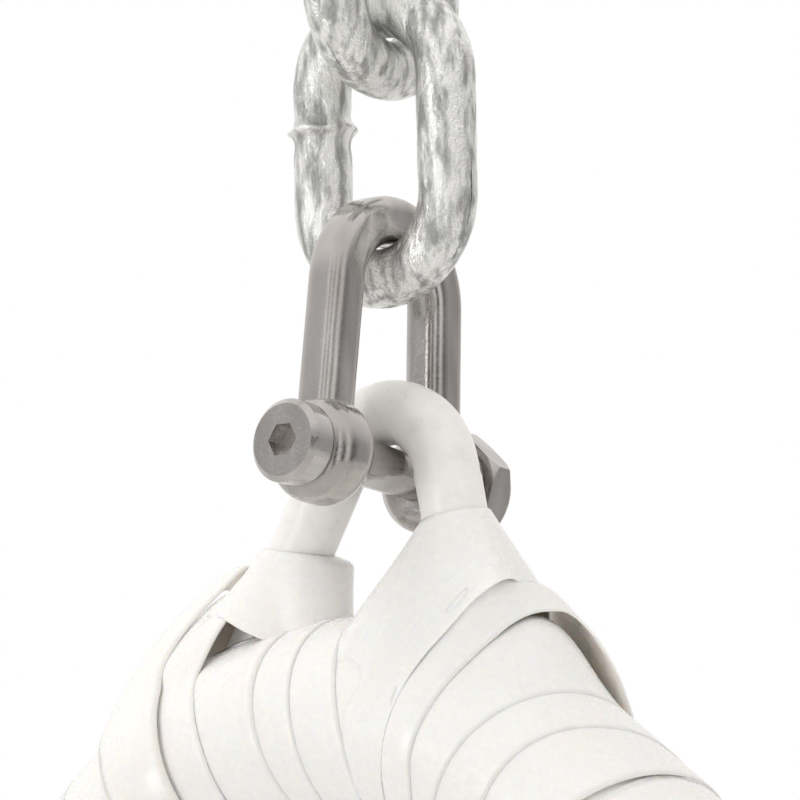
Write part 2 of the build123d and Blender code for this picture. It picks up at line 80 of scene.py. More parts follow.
def spread(finish, factor, low, high, start=0.3, end=0.7):
    """Turns a pattern's strength into a range of values or colours."""
    if isinstance(low, tuple):
        ramp = add_node(finish, "ValToRGB")
        ramp.color_ramp.elements[0].position = start
        ramp.color_ramp.elements[1].position = end
        ramp.color_ramp.elements[0].color = (*low, 1)
        ramp.color_ramp.elements[1].color = (*high, 1)
        finish.node_tree.links.new(factor, ramp.inputs["Fac"])
        return ramp.outputs["Color"]
    ranged = add_node(finish, "MapRange", {"From Min": start, "From Max": end, "To Min": low, "To Max": high})
    finish.node_tree.links.new(factor, ranged.inputs["Value"])
    return ranged.outputs["Result"]


def feed(finish, source, socket):
    shader = finish.node_tree.nodes["Principled BSDF"]
    finish.node_tree.links.new(source, shader.inputs[socket])


def relief(finish, *layers):
    """Bump of one or more patterns, each given as its strength and its height in metres."""
    below = None
    for factor, height in layers:
        bump = add_node(finish, "Bump", {"Strength": 1.0, "Distance": height})
        finish.node_tree.links.new(factor, bump.inputs["Height"])
        if below:
            finish.node_tree.links.new(below, bump.inputs["Normal"])
        below = bump.outputs["Normal"]
    feed(finish, below, "Normal")


def wear(node_name, finish):
    """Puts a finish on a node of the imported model."""
    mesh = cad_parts[node_name].data
    mesh.materials.clear()
    mesh.materials.append(finish)


def galvanised(name, tone, spangle, metallic):
    zinc = new_finish(name, tone, 0.5, metallic)
    spots = grain(zinc, spangle, kind="TexVoronoi")
    clouds = grain(zinc, 6 * spangle, 6)
    pits = grain(zinc, 0.7 * mm, 5)
    dark = tuple(0.62 * c for c in tone)
    feed(zinc, spread(zinc, clouds, dark, tone, 0.32, 0.62), "Base Color")
    feed(zinc, spread(zinc, spots, 0.34, 0.62, 0.0, 0.7), "Roughness")
    relief(zinc, (pits, 0.08 * mm), (clouds, 0.25 * mm))
    return zinc


plate_zinc = galvanised("dull zinc", (0.56, 0.57, 0.57), 5 * mm, 0.85)
wear("hanger_plate", plate_zinc)
wear("swivel_housing", plate_zinc)

# ------------------------------------------------- swivel fork and its inner parts
# The fork is a galvanised forging with the spindle in one piece. Inside the
# housing it turns in a bronze bush on a bronze washer, under a castle nut.
forged_zinc = galvanised("forged zinc", (0.60, 0.60, 0.58), 3 * mm, 0.85)
wear("swivel_clevis", forged_zinc)

bright_zinc = new_finish("bright zinc plating", (0.66, 0.67, 0.68), 0.28, 1.0)
plating_marks = grain(bright_zinc, 1.2 * mm, 6)
feed(bright_zinc, spread(bright_zinc, plating_marks, (0.50, 0.51, 0.52), (0.70, 0.70, 0.69)), "Base Color")
feed(bright_zinc, spread(bright_zinc, plating_marks, 0.2, 0.42), "Roughness")
relief(bright_zinc, (grain(bright_zinc, 0.3 * mm, 3), 0.02 * mm))
for fastener in ("housing_screws", "clevis_bolt", "clevis_nut", "spindle_nut", "spindle_split_pin"):
    wear(fastener, bright_zinc)

bush_bronze = new_finish("bearing bronze", (0.62, 0.42, 0.20), 0.35, 1.0)
turning_marks = grain(bush_bronze, 0.5 * mm, 3, (1, 1, 6))
feed(bush_bronze, spread(bush_bronze, turning_marks, (0.50, 0.32, 0.14), (0.66, 0.45, 0.22)), "Base Color")
relief(bush_bronze, (turning_marks, 0.02 * mm))
wear("swivel_bush", bush_bronze)
wear("thrust_washer", bush_bronze)

seal_black = new_finish("seal rubber", (0.03, 0.03, 0.032), 0.6)
relief(seal_black, (grain(seal_black, 0.4 * mm, 4), 0.03 * mm))
feed(seal_black, spread(seal_black, grain(seal_black, 4 * mm), 0.5, 0.75), "Roughness")
wear("grease_seal", seal_black)

# ----------------------------------------------------------------------- chain
# Four links of round wire, each bent to shape and butt welded on one leg. The
# weld leaves a squeezed-out lip. The zinc on them is bright and grainy.
wire_radius = 5.0
bend_radius = 13.0
half_straight = 9.5
link_height = 45.0
first_link_top = -63.198
link_step = 34.7
weld_rise = 3.6
weld_lip = 0.85
weld_width = 0.8
lip_grip = 2.6
zinc_thickness = 0.1


def formed_sheet(steps_along, steps_around, place, closed=False, strip=False):
    """A grid whose corners are each put in place by a rule of (along, around), both 0 to 1."""
    shape = bmesh.new()
    bmesh.ops.create_grid(shape, x_segments=steps_along, y_segments=steps_around, size=0.5)
    for corner in shape.verts:
        corner.co = place(corner.co.x + 0.5, corner.co.y + 0.5) * mm
    if closed:
        bmesh.ops.remove_doubles(shape, verts=shape.verts, dist=0.002 * mm)
    if strip:
        bmesh.ops.reverse_faces(shape, faces=shape.faces)
    else:
        bmesh.ops.recalc_face_normals(shape, faces=shape.faces)
    return shape


def finished_piece(name, shape, finish, body):
    """Makes a piece of the shape and lets it ride on a body."""
    for face in shape.faces:
        face.smooth = True
    mesh = bpy.data.meshes.new(name)
    shape.to_mesh(mesh)
    shape.free()
    mesh.materials.append(finish)
    piece = bpy.data.objects.new(name, mesh)
    bpy.context.scene.collection.objects.link(piece)
    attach(piece, body)
    return piece


def link_line(share):
    """Centre of the wire and its outward way, once round a link in its own plane."""
    bend = math.pi * bend_radius
    straight = 2 * half_straight
    run = (share % 1.0) * 2 * (bend + straight)
    if run < straight:
        return (bend_radius, run - half_straight), (1.0, 0.0)
    if run < straight + bend:
        turn = (run - straight) / bend_radius
        out = (math.cos(turn), math.sin(turn))
        return (bend_radius * out[0], half_straight + bend_radius * out[1]), out
    if run < 2 * straight + bend:
        return (-bend_radius, half_straight - (run - straight - bend)), (-1.0, 0.0)
    turn = math.pi + (run - 2 * straight - bend) / bend_radius
    out = (math.cos(turn), math.sin(turn))
    return (bend_radius * out[0], bend_radius * out[1] - half_straight), out


def wire_skin(seed, across, up, turn, on_weld_leg):
    """Radius of the wire: slightly uneven zinc, with the weld's lip on one leg."""
    place = Vector((across * 0.16 + seed * 7.3, up * 0.16, turn * 0.9 + seed))
    radius = wire_radius - zinc_thickness + 0.14 * noise.noise(place) + 0.05 * noise.noise(place * 4)
    if on_weld_leg:
        ring = Vector((math.cos(turn), math.sin(turn), 0))
        uneven = 0.5 * noise.noise(1.3 * ring + Vector((0, 0, seed * 3.1)))
        away = (up - weld_rise - 1.3 * uneven) / (weld_width + 0.5 * uneven)
        lip = weld_lip + 0.55 * noise.noise(2.2 * ring + Vector((0, 0, seed + 9.0)))
        radius += lip * math.exp(-away * away)
        radius -= 0.2 * math.exp(-((abs(up - weld_rise) - lip_grip) / 1.2) ** 2)
    return radius


chain_zinc = new_finish("chain zinc", (0.90, 0.90, 0.88), 0.24, 0.88)
zinc_clouds = grain(chain_zinc, 1.8 * mm, 8, (1, 1, 0.3))
zinc_grains = grain(chain_zinc, 0.4 * mm, 4)
zinc_pits = grain(chain_zinc, 0.9 * mm, 5, (1, 1, 0.5))
zinc_tones = spread(chain_zinc, zinc_clouds, (0.42, 0.42, 0.405), (0.96, 0.96, 0.94), 0.36, 0.56)
feed(chain_zinc, zinc_tones, "Base Color")
feed(chain_zinc, spread(chain_zinc, zinc_clouds, 0.32, 0.14, 0.35, 0.65), "Roughness")
relief(chain_zinc, (zinc_clouds, 0.16 * mm), (zinc_pits, 0.34 * mm), (zinc_grains, 0.22 * mm))

for index in range(4):
    middle = first_link_top - link_step * index - link_height / 2
    lies_across = index % 2 == 0

    def on_wire(along, around, seed=index + 1):
        (across, up), (out_x, out_z) = link_line(along)
        turn = 2 * math.pi * around
        radius = wire_skin(seed, across, up, turn, across < -bend_radius + 0.01)
        flat = across + radius * math.cos(turn) * out_x
        side = radius * math.sin(turn)
        x, y = (-side, flat) if lies_across else (flat, side)
        return Vector((x, y, middle + up + radius * math.cos(turn) * out_z))

    link = formed_sheet(420, 48, on_wire, closed=True)
    body = f"link_{index + 1}"
    piece = finished_piece(f"welded_link_{index + 1}", link, chain_zinc, body)
    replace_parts(piece, f"chain_link_{index + 1}")

# --------------------------------------------------------------------- shackle
# Cast stainless D-shackle, polished, with a socket-headed pin through both
# bosses and a nut on its far end.
stainless = new_finish("polished stainless", (0.50, 0.475, 0.46), 0.22, 1.0)
cast_waves = grain(stainless, 7 * mm, 2, (1, 1, 0.3))
cast_pits = grain(stainless, 0.5 * mm, 4)
cast_tones = spread(stainless, cast_waves, (0.42, 0.395, 0.38), (0.60, 0.575, 0.56))
feed(stainless, cast_tones, "Base Color")
feed(stainless, spread(stainless, cast_pits, 0.12, 0.3, 0.45, 0.75), "Roughness")
relief(stainless, (cast_waves, 0.22 * mm), (cast_pits, 0.015 * mm))
for steel_piece in ("shackle_bow", "shackle_pin", "shackle_nut"):
    wear(steel_piece, stainless)

# ------------------------------------------------------------------- hoop steel
# Two halves of round tube with a spigot in each joint, and the eye's own bar
# welded to the top. Tape and coating hide all of it.
tube_steel = new_finish("tube steel", (0.42, 0.42, 0.43), 0.45, 1.0)
mill_marks = grain(tube_steel, 3 * mm, 5)
feed(tube_steel, spread(tube_steel, mill_marks, (0.30, 0.30, 0.31), (0.46, 0.46, 0.47)), "Base Color")
relief(tube_steel, (mill_marks, 0.05 * mm))
for hidden in ("hoop_tube_right", "hoop_tube_left", "top_spigot", "bottom_spigot", "eye_bar", "eye_welds"):
    wear(hidden, tube_steel)

# ------------------------------------------------------------------------- eye
# Round bar bent to an eye and coated white. Tape is wound down both legs, so
# its edges show as thin steps across the white.
pin_height = -244.18
eye_bend = 11.5
eye_middle = pin_height - 2.0
left_lean = math.radians(30.6)
right_lean = math.radians(11.2)
left_leg_length = 62.0
right_leg_length = 46.0

coat_white = new_finish("white coating", (0.86, 0.84, 0.81), 0.3)
coat_shader = coat_white.node_tree.nodes["Principled BSDF"]
coat_shader.inputs["Subsurface Weight"].default_value = 0.12
coat_shader.inputs["Subsurface Radius"].default_value = (2 * mm, 1.8 * mm, 1.5 * mm)
coat_marks = grain(coat_white, 3.5 * mm, 6)
coat_tones = spread(coat_white, coat_marks, (0.86, 0.84, 0.815), (0.915, 0.90, 0.88), 0.3, 0.55)
feed(coat_white, coat_tones, "Base Color")
feed(coat_white, spread(coat_white, coat_marks, 0.24, 0.4), "Roughness")
relief(coat_white, (coat_marks, 0.05 * mm), (grain(coat_white, 0.6 * mm, 3), 0.01 * mm))


def eye_line(share):
    """Centre of the bar and its outward way, from the left foot to the right foot."""
    arc_angle = math.pi - left_lean - right_lean
    arc = eye_bend * arc_angle
    run = share * (left_leg_length + arc + right_leg_length)
    if run < left_leg_length:
        down = left_leg_length - run
        out = Vector((-math.cos(left_lean), 0, math.sin(left_lean)))
        return out * eye_bend + Vector((-math.sin(left_lean), 0, -math.cos(left_lean))) * down, out, run
    if run < left_leg_length + arc:
        turn = math.pi - left_lean - (run - left_leg_length) / eye_bend
        out = Vector((math.cos(turn), 0, math.sin(turn)))
        return out * eye_bend, out, run
    down = run - left_leg_length - arc
    out = Vector((math.cos(right_lean), 0, math.sin(right_lean)))
    return out * eye_bend + Vector((math.sin(right_lean), 0, -math.cos(right_lean))) * down, out, run


# each step: where it crosses the bar from the left foot, how much it slants, its height
tape_steps = ((50.0, 5.0, 0.10), (78.0, -5.5, 0.12), (91.5, 3.0, 0.16), (99.0, 3.5, 0.16))
bar_in_coat = 5.28
left_tape_ends = 60
step_softness = 0.12
step_fades_over = 14


def on_eye(along, around):
    centre, out, run = eye_line(along)
    turn = 2 * math.pi * around
    radius = bar_in_coat + 0.05 * noise.noise(Vector((run * 0.12, math.cos(turn), math.sin(turn))))
    for place, slant, height in tape_steps:
        past = run - place - slant * math.cos(turn + 0.6)
        if place < left_tape_ends:
            past = -past
        step = 0.5 * height * (1 + math.tanh(past / step_softness))
        radius += step * math.exp(-max(past, 0) / step_fades_over)
    side = Vector((0, 1, 0))
    return Vector((0, 0, eye_middle)) + centre + radius * (math.cos(turn) * out + math.sin(turn) * side)


eye_shape = formed_sheet(520, 56, on_eye, closed=True)
eye_skin = finished_piece("coated_eye", eye_shape, coat_white, "hoop")
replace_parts(eye_skin, "eye_coat")

# ------------------------------------------------------- tape wound on the hoop
# The steel hoop is wound with glossy white vinyl tape from the right to the
# left. Each turn laps over the one before, so one edge of every turn shows.
hoop_turn = math.radians(1.157)
crown_offset = -10.0
crown_drop = 42.0
crown_bend = 67.0
shoulder_slope = math.radians(40)
round_radius = 380.0
shoulder_run = (round_radius - crown_bend) * math.tan(shoulder_slope)
crown_run = crown_bend * shoulder_slope
round_middle = round_radius / math.cos(shoulder_slope) - crown_bend * (1 / math.cos(shoulder_slope) - 1)
tape_radius = 17.75
lap_step = 0.13
edge_lift = 0.22
under_lap = 0.1
turn_thickness = 0.36
wound_thickness = 0.3
cover_thickness = 0.3
sleeve_thickness = 0.45
half_round_run = crown_run + shoulder_run + round_radius * (math.pi - shoulder_slope)

vinyl = new_finish("white vinyl tape", (0.92, 0.895, 0.865), 0.24)
vinyl_shader = vinyl.node_tree.nodes["Principled BSDF"]
vinyl_shader.inputs["Subsurface Weight"].default_value = 0.7
vinyl_shader.inputs["Subsurface Radius"].default_value = (6 * mm, 5 * mm, 3.8 * mm)
vinyl_clouds = grain(vinyl, 14 * mm, 4)
vinyl_ripples = grain(vinyl, 2.2 * mm, 3)
vinyl_skin = grain(vinyl, 0.35 * mm, 2)
feed(vinyl, spread(vinyl, vinyl_clouds, (0.915, 0.895, 0.87), (0.93, 0.915, 0.895), 0.35, 0.6), "Base Color")
feed(vinyl, spread(vinyl, vinyl_ripples, 0.2, 0.34), "Roughness")
relief(vinyl, (vinyl_clouds, 0.12 * mm), (vinyl_ripples, 0.03 * mm), (vinyl_skin, 0.004 * mm))


def on_hoop(run, around, height):
    """A point by its run from the crown, its turn round the tube and its height over the centreline."""
    side = 1 if run >= 0 else -1
    distance = abs(run)
    if distance <= crown_run:
        turn = distance / crown_bend
        x, z = crown_bend * math.sin(turn), crown_bend * (math.cos(turn) - 1)
        out_x, out_z = math.sin(turn), math.cos(turn)
    elif distance <= crown_run + shoulder_run:
        past = distance - crown_run
        out_x, out_z = math.sin(shoulder_slope), math.cos(shoulder_slope)
        x = crown_bend * out_x + past * out_z
        z = crown_bend * (out_z - 1) - past * out_x
    else:
        turn = math.pi / 2 - shoulder_slope - (distance - crown_run - shoulder_run) / round_radius
        out_x, out_z = math.cos(turn), math.sin(turn)
        x, z = round_radius * out_x, round_radius * out_z - round_middle
    lift = height * math.cos(around)
    x = side * (x + lift * out_x) + crown_offset / math.cos(hoop_turn)
    z = z + lift * out_z - crown_drop
    cos_t, sin_t = math.cos(hoop_turn), math.sin(hoop_turn)
    return Vector((x * cos_t - z * sin_t, height * math.sin(around), x * sin_t + z * cos_t + pin_height))


def smooth_share(share):
    return share * share * (3 - 2 * share)


def through(stations):
    """A smooth closed rule through stations of (turn in degrees, run, height) round the tube."""
    def rule(around):
        degrees = (math.degrees(around) + 180) % 360 - 180
        count = len(stations)
        for index in range(count):
            here, there = stations[index], stations[(index + 1) % count]
            end = there[0] + (360 if index == count - 1 else 0)
            at = degrees + (360 if degrees < here[0] and index == count - 1 else 0)
            if here[0] <= at <= end:
                before, after = stations[index - 1], stations[(index + 2) % count]
                share = (at - here[0]) / (end - here[0])
                values = []
                for slot in (1, 2):
                    wide = end - here[0]
                    gap_before = (here[0] - before[0]) % 360
                    gap_after = (after[0] - end) % 360
                    slope_in = (there[slot] - before[slot]) / (wide + gap_before) * wide
                    slope_out = (after[slot] - here[slot]) / (wide + gap_after) * wide
                    s2, s3 = share * share, share ** 3
                    values.append(
                        (2 * s3 - 3 * s2 + 1) * here[slot] + (s3 - 2 * s2 + share) * slope_in
                        + (3 * s2 - 2 * s3) * there[slot] + (s3 - s2) * slope_out
                    )
                return tuple(values)
        return stations[0][1], stations[0][2]
    return rule


def crown_swell(run, around):
    """The tape is built up over the top of the crown, between the eye's feet."""
    top = max(0.0, math.cos(around)) ** 2
    return 1.5 * top * math.exp(-((run + 14) / 11) ** 2) + 0.9 * top * math.exp(-((run - 4) / 9) ** 2)


def lap_edge(place, lean_top, lean_front):
    """A turn's edge, which leans along the hoop at its top and at its front."""
    def rule(around):
        run = place + lean_top * math.cos(around) - lean_front * math.sin(around)
        return run, tape_radius + edge_lift + crown_swell(run, around)
    return rule


def taped(name, shape, thickness):
    """Makes a piece of tape with its thickness towards the hoop."""
    piece = finished_piece(name, shape, vinyl, "hoop")
    wall = piece.modifiers.new("tape thickness", "SOLIDIFY")
    wall.thickness = thickness * mm
    wall.offset = -1
    return piece


def tape_turn(name, left, right, bulge=0.0, tuck=1.6, steps=144):
    """One turn of tape between two edges; its left edge tucks under the turn before it."""
    def place(along, across):
        around = math.pi * (2 * along - 1)
        left_run, left_height = left(around)
        right_run, right_height = right(around)
        left_run -= tuck
        left_height -= lap_step + under_lap
        run = left_run + (right_run - left_run) * across
        height = left_height + (right_height - left_height) * smooth_share(across) ** 0.8
        height += bulge * across * (1 - across) * 4
        height += 0.07 * noise.noise(Vector((run * 0.25, math.cos(around) * 2.4, math.sin(around) * 2.4)))
        return on_hoop(run, around, height)

    return taped(name, formed_sheet(steps, 10, place, closed=True, strip=True), turn_thickness)


edge_b = lap_edge(-17, -2.5, 0)
edge_c = lap_edge(0, -3, -5.5)
edge_d = lap_edge(5, -4, -3)
edge_e = lap_edge(11.5, -7, 0.5)
edge_g = lap_edge(21.5, -2, 0)
lifted_edge = through((
    (-62, 27, 18.3), (-38, 27.6, 18.8), (-22, 28.4, 20.7), (-12, 29, 22.6), (-4, 29.8, 24.2),
    (4, 30.8, 24.6), (12, 32, 23.8), (25, 33, 21.8), (45, 33, 19.7), (75, 31, 18.4),
    (120, 27, 18.3), (180, 25, 18.3), (-110, 26, 18.3),
))
edge_i = lap_edge(39, 2, -5)
edge_j = lap_edge(52, -2, -9)
edge_k = lap_edge(59, 2, -4.5)
ring_turns = (
    ("tape_turn_c", edge_b, edge_c),
    ("tape_turn_d", edge_c, edge_d),
    ("tape_turn_e", edge_d, edge_e),
    ("tape_turn_g", edge_e, edge_g),
    ("tape_turn_h", edge_g, lap_edge(28, -2, 0)),
    ("tape_turn_i", lifted_edge, edge_i),
    ("tape_turn_j", edge_i, edge_j),
    ("tape_turn_k", edge_j, edge_k),
)
for turn_name, left_edge, right_edge in ring_turns:
    turn_piece = tape_turn(turn_name, left_edge, right_edge)
    if turn_name == "tape_turn_e":
        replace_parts(turn_piece, "crown_wrap")


under_radius = tape_radius - 0.75


def under_tape(along, around):
    return on_hoop(half_round_run * (2 * along - 1), 2 * math.pi * around, under_radius)


base_shape = formed_sheet(700, 48, under_tape, closed=True)
finished_piece("tape_underlayer", base_shape, vinyl, "hoop")


uneven_pitch = 2.4
overlap = 1.22
wound_radius = tape_radius - 0.2
steps_a_turn = 40


def wound_length(name, start, end, pitch, seed, *stands_for):
    """A long stretch wound in one helix, each turn lapping over the next one to the right."""
    turns = (end - start) / pitch

    def wander(turn):
        return uneven_pitch * noise.noise(Vector((0.55 * turn, seed * 5.1, 0))) * min(1, turn / 1.5)

    def place(along, across):
        around = 2 * math.pi * turns * along
        run = start + (end - start) * along + wander(turns * along)
        run += (across - 1) * pitch * overlap
        height = wound_radius + lap_step * smooth_share(across)
        height += 0.06 * noise.noise(Vector((run * 0.2, math.cos(around) * 2, math.sin(around) * 2)))
        return on_hoop(max(-half_round_run, min(half_round_run, run)), around, height)

    shape = formed_sheet(int(turns * steps_a_turn), 7, place, strip=True)
    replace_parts(taped(name, shape, wound_thickness), *stands_for)


side_start = crown_run + shoulder_run
lower_start = side_start + round_radius * math.radians(60)
wound_length("wound_shoulder_right", 62, side_start, 12.5, 1, "shoulder_wrap_right")
wound_length("wound_side_right", side_start, lower_start, 13.0, 2, "side_wrap_right")
wound_length("wound_lower_right", lower_start, half_round_run, 13.0, 3, "lower_wrap_right")
wound_length("wound_shoulder_left", -side_start, -31, 12.5, 4, "shoulder_wrap_left")
wound_length("wound_side_left", -lower_start, -side_start, 13.0, 5, "side_wrap_left")
wound_length("wound_lower_left", -half_round_run, -lower_start, 13.0, 6, "lower_wrap_left")

# --------------------------------------------------- tape over the eye's left foot
# A sleeve of tape goes down the left leg. Two loose turns bridge from the hoop
# up to it and leave open hollows beneath.
sleeve_mouth_radius = 5.45
sleeve_top_radius = 7.2
sleeve_start = 19.3
sleeve_shoulder = 0.09
sleeve_shift = Vector((1.1, 0.9, 0))
sleeve_slant = 2.2
mouth_lip = 0.5
sleeve_flare = 0.12
sleeve_ripple = 0.12


def leg_ring(lean, side, distance, radius, turn):
    """A point on a ring square to one leg of the eye, turned from its right side to its back."""
    down = Vector((side * math.sin(lean), 0, -math.cos(lean)))
    start = Vector((side * eye_bend * math.cos(lean), 0, eye_middle + eye_bend * math.sin(lean)))
    across = Vector((-down.z, 0, down.x))
    ring = radius * (math.cos(turn) * across + math.sin(turn) * Vector((0, 1, 0)))
    return start + down * distance + ring


def around_leg(stations):
    """A closed rule through stations of (turn round the leg, run, turn round the tube, height)."""
    runs = through([(turn, run, height) for turn, run, _, height in stations])
    turns = through([(turn, around, 0) for turn, _, around, _ in stations])

    def rule(turn):
        run, height = runs(turn)
        return run, math.radians(turns(turn)[0]), height
    return rule


sleeve_skirt = around_leg((
    (-180, -21.8, -4, 25.2),
    (-155, -17.5, -15, 24.2),
    (-135, -14, -24, 23.4),
    (-120, -11, -29, 21.0),
    (-105, -8, -30, 18.4),
    (-90, -6, -28, 17.2),
    (-60, -3, -25, 17.0),
    (-30, -1, -14, 17.2),
    (0, -0.5, 0, 17.6),
    (30, -4, 22, 17.0),
    (60, -12, 33, 17.0),
    (90, -20, 36, 17.2),
    (120, -28, 30, 17.4),
    (145, -31, 16, 17.8),
    (165, -29, 5, 21.5),
))


def on_sleeve(along, around):
    turn = math.pi * (2 * around - 1)
    if along < sleeve_shoulder:
        share = along / sleeve_shoulder
        radius = sleeve_mouth_radius + (sleeve_top_radius - sleeve_mouth_radius) * share
        rise = sleeve_slant * math.cos(turn) + mouth_lip * (1 - share)
        return leg_ring(left_lean, -1, sleeve_start - rise, radius, turn) + sleeve_shift * share
    along = (along - sleeve_shoulder) / (1 - sleeve_shoulder)
    rise = sleeve_slant * math.cos(turn)
    top = leg_ring(left_lean, -1, sleeve_start - rise, sleeve_top_radius, turn) + sleeve_shift
    foot = on_hoop(*sleeve_skirt(turn))
    flare = along + sleeve_flare * math.sin(math.pi * along)
    point = top + (foot - top) * flare
    wave = sleeve_ripple * noise.noise(point * 0.12)
    return point + wave * Vector((math.cos(turn), math.sin(turn), 0))


sleeve = taped("leg_sleeve_left", formed_sheet(28, 96, on_sleeve, closed=True), sleeve_thickness)
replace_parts(sleeve, "eye_collar_left")

outer_left = through((
    (-150, -38, 18.5), (-60, -38, 18.5), (-30, -39, 19.2), (-15, -37, 22), (-4, -33.5, 25.5),
    (4, -29.5, 29.5), (11, -25, 33), (18, -23, 35), (32, -28, 32), (55, -36, 22.5),
    (80, -38, 18.8), (110, -38, 18.5),
))
outer_right = through((
    (-150, -25, 18.6), (-92, -25, 18.8), (-66, -25, 19.0), (-42, -25.2, 19.6), (-30, -25.6, 20.8),
    (-20, -25, 22.6), (-12, -23.4, 24.8), (-4, -21.8, 27.4), (4, -20, 30.6), (13, -18.2, 35),
    (30, -22, 33), (55, -26, 24.5), (80, -26, 19), (110, -25, 18.6),
))
outer_turn = tape_turn("loose_outer_turn", outer_left, outer_right, bulge=1.2, tuck=0.5, steps=220)
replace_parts(outer_turn, "loose_turn_left")

inner_left = through((
    (-150, -27, 18), (-75, -27.5, 18.1), (-60, -27.5, 18.3), (-40, -27.5, 19.3), (-28, -27, 21),
    (-18, -25, 23), (-7, -22.5, 26), (2, -20.5, 29), (12, -19, 31), (30, -20, 26),
    (70, -25, 18.4), (110, -26, 18),
))
inner_right = through((
    (-150, -16, 18.2), (-94, -17, 18.2), (-64, -18, 18.3), (-42, -18.6, 18.7), (-35, -17, 20.2),
    (-25, -13.8, 23.4), (-15, -11.5, 25.5), (0, -9, 25), (30, -12, 22), (70, -16, 18.4), (110, -16, 18.2),
))
tape_turn("loose_inner_turn", inner_left, inner_right, tuck=0.2, steps=220)

# -------------------------------------------------- tape over the eye's right foot
# On the right the tape spreads from the leg to the front of the hoop like a
# tent. One more loose turn crosses under its edge and stands off behind it.
tent_start = 9.0
tent_top_radius = 5.9
tent_hang = 0.7
tent_touch = math.radians(-78)
tongue_left = 8.5
tongue_right = 21.0
tongue_from = -128
tongue_to = -70
hem_from = -128
hem_to = -88
hem_tuck = -0.25
hem_rise = 0.6
tent_skirt = around_leg((
    (-180, 2, -2, 18.0),
    (-160, 4, -26, 17.6),
    (-142, 6, -54, 17.6),
    (-126, 8.5, -82, 17.6),
    (-114, 12.5, -108, 17.7),
    (-104, 17, -132, 18.2),
    (-96, 20, -148, 18.2),
    (-88, 22, -134, 18.2),
    (-80, 21.5, -108, 18.2),
    (-72, 21, -84, 18.3),
    (-64, 21.2, -64, 18.7),
    (-54, 22, -47, 20.0),
    (-40, 23.4, -32, 22.6),
    (-25, 24.8, -20, 26.6),
    (-12, 26, -14, 29.0),
    (-4, 26.2, -8, 29.4),
    (4, 26.2, -3, 28.7),
    (12, 26.6, 3, 29.0),
    (25, 26, 14, 27.6),
    (45, 25, 32, 23.5),
    (65, 24, 60, 18.8),
    (90, 16, 85, 18.2),
    (120, 9, 65, 18.2),
    (150, 6, 38, 18.2),
))


def off_hoop(point, least):
    """Pushes a point out until it lies on the tape of the hoop beneath."""
    def gap(run):
        return (point - on_hoop(run, 0, 0)).length

    nearest = min(range(-20, 61, 2), key=gap)
    low, high = nearest - 2.0, nearest + 2.0
    for _ in range(18):
        third = (high - low) / 3
        if gap(low + third) < gap(high - third):
            high -= third
        else:
            low += third
    axis = on_hoop((low + high) / 2, 0, 0)
    away = point - axis
    return axis + away * (least / away.length) if away.length < least else point


def on_tent(along, around):
    turn = math.pi * (2 * around - 1)
    top = leg_ring(right_lean, 1, tent_start, tent_top_radius, turn)
    run, around_tube, height = tent_skirt(turn)
    hem = max(around_tube, tent_touch)
    hem_run = run
    if around_tube < tent_touch:
        across_tongue = (math.degrees(turn) - tongue_from) / (tongue_to - tongue_from)
        hem_run = tongue_left + (tongue_right - tongue_left) * across_tongue
    if along < tent_hang:
        point = top + (on_hoop(hem_run, hem, height) - top) * (along / tent_hang)
    else:
        share = (along - tent_hang) / (1 - tent_hang)
        point = on_hoop(hem_run + (run - hem_run) * share, hem + (around_tube - hem) * share, height)
    on_top = (math.degrees(turn) - hem_from) / (hem_to - hem_from)
    if turn > math.pi / 2:
        on_top = 2 - 2 * turn / math.pi
    on_top = smooth_share(max(0.0, min(1.0, on_top)))
    return off_hoop(point, tape_radius + hem_tuck + hem_rise * on_top)


tent = taped("leg_tent_right", formed_sheet(56, 200, on_tent, closed=True), cover_thickness)
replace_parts(tent, "eye_collar_right")

bridge_left = through((
    (-120, 22, 18.2), (-97, 21, 18.2), (-70, 20.3, 18.3), (-48, 20.4, 19.4), (-32, 21.6, 22.6),
    (-20, 23, 27.2), (-12, 24.2, 29.0), (-4, 25.2, 29.4), (4, 26.4, 29.2), (12, 26.2, 28.8), (22, 24.5, 28.0),
    (34, 23, 26.0), (50, 22, 23), (70, 22, 19.4), (110, 22, 18.2), (180, 22, 18.2),
))
bridge_right = through((
    (-113, 28.6, 18.2), (-91, 27, 18.2), (-62, 27, 18.3), (-38, 27.4, 18.9), (-22, 28, 20.9),
    (-12, 28.6, 23.2), (-4, 29.4, 25), (3, 30.3, 26), (8, 31.4, 26.6), (15, 34, 25.4),
    (25, 37.2, 22.8), (34, 39.8, 20.6),
    (48, 42, 18.8), (70, 40, 18.4), (110, 33, 18.2), (180, 29, 18.2),
))
bridge = tape_turn("loose_bridge_turn", bridge_left, bridge_right, bulge=0.5, tuck=0.3, steps=240)
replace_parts(bridge, "loose_turn_right")

# --------------------------------------------------------------- room and light
# A plain white room with three soft lamps. The hoop hangs free, well clear of
# the pale floor. Grey panels round the room show only in polished metal.
half_floor = 3.0
floor_height = -1.45
floor_shape = bmesh.new()
bmesh.ops.create_grid(floor_shape, x_segments=2, y_segments=2, size=half_floor)
bmesh.ops.translate(floor_shape, verts=floor_shape.verts, vec=(0, 0, floor_height))
floor_mesh = bpy.data.meshes.new("floor")
floor_shape.to_mesh(floor_mesh)
floor_shape.free()
floor_paint = new_finish("pale floor", (0.80, 0.80, 0.80), 0.7)
floor_tones = spread(floor_paint, grain(floor_paint, 0.4), (0.78, 0.78, 0.78), (0.82, 0.82, 0.82))
feed(floor_paint, floor_tones, "Base Color")
floor_mesh.materials.append(floor_paint)
floor = bpy.data.objects.new("floor", floor_mesh)
bpy.context.scene.collection.objects.link(floor)

room = bpy.data.worlds.new("white room")
bpy.context.scene.world = room
room.use_nodes = True
room_tree = room.node_tree


